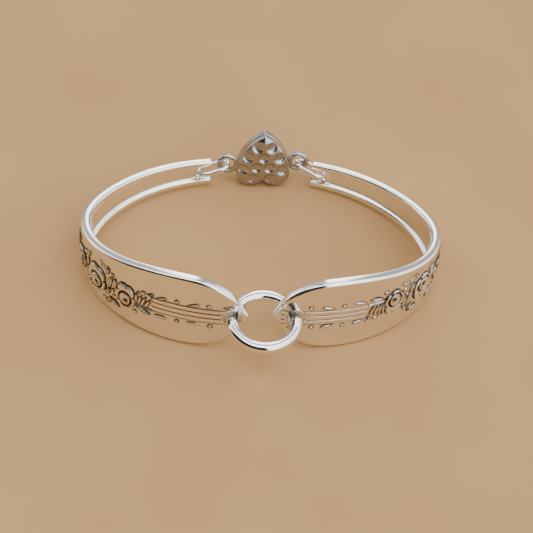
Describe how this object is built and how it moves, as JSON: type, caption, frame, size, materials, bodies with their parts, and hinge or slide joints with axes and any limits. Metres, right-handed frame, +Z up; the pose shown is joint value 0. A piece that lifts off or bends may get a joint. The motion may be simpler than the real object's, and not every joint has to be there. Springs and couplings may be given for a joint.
{
  "type": "spoon handle bracelet",
  "caption": "Bracelet of two bent, ornamented spoon handles, joined by a round ring in front and by oval links and a heart clasp behind.",
  "frame": {"origin": "bottom centre of the whole bracelet as it lies on a table", "axes": "+X to the right seen from the front ring, +Y from the front ring to the clasp, +Z up from the table"},
  "size_m": [0.0668, 0.051, 0.0156],
  "materials": {
    "handle_silver": "polished silver plate with fine wear scratches and dark tarnish in the recesses of the ornament",
    "bright_wire": "bright polished silver wire",
    "clasp_silver": "bright cast silver with dimples"
  },
  "bodies": {
    "root": {"handle_left": "handle_silver", "handle_right": "handle_silver", "front_ring": "bright_wire", "link_left": "bright_wire", "link_right": "bright_wire", "clasp_near": "clasp_silver", "clasp_far": "clasp_silver"}
  },
  "joints": []
}
